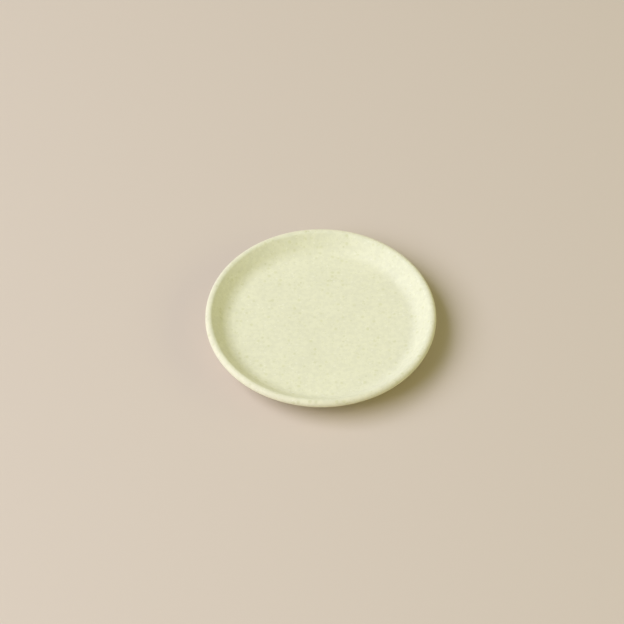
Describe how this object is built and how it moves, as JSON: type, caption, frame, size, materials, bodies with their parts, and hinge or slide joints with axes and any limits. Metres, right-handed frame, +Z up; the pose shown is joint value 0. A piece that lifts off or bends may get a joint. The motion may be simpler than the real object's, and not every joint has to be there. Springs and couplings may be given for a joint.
{
  "type": "magnetic pin bowl",
  "caption": "Shallow round dish with a rounded lip that holds sewing pins by magnets set in its base, on a cork pad.",
  "frame": {"origin": "centre of the cork pad's underside, which stands on the table", "axes": "+Z up out of the dish along its axis of revolution; +X through the middle of magnet_ring_1"},
  "size_m": [0.1, 0.1, 0.013],
  "materials": {
    "fleck_composite": "matte moulded plant-fibre composite with fine flecks",
    "plated_magnet": "nickel-plated neodymium",
    "clear_glue": "cured clear glue",
    "keeper_steel": "zinc-plated mild steel",
    "adhesive_sheet": "acrylic sheet adhesive",
    "cork": "fine-grain agglomerated cork"
  },
  "bodies": {
    "root": {"bowl": "fleck_composite", "magnet_centre": "plated_magnet", "magnet_ring_1": "plated_magnet", "magnet_ring_2": "plated_magnet", "magnet_ring_3": "plated_magnet", "magnet_ring_4": "plated_magnet", "magnet_ring_5": "plated_magnet", "magnet_ring_6": "plated_magnet", "glue_dab_centre": "clear_glue", "glue_dab_ring_1": "clear_glue", "glue_dab_ring_2": "clear_glue", "glue_dab_ring_3": "clear_glue", "glue_dab_ring_4": "clear_glue", "glue_dab_ring_5": "clear_glue", "glue_dab_ring_6": "clear_glue", "keeper_plate": "keeper_steel", "pad_adhesive": "adhesive_sheet", "base_pad": "cork"}
  },
  "joints": []
}
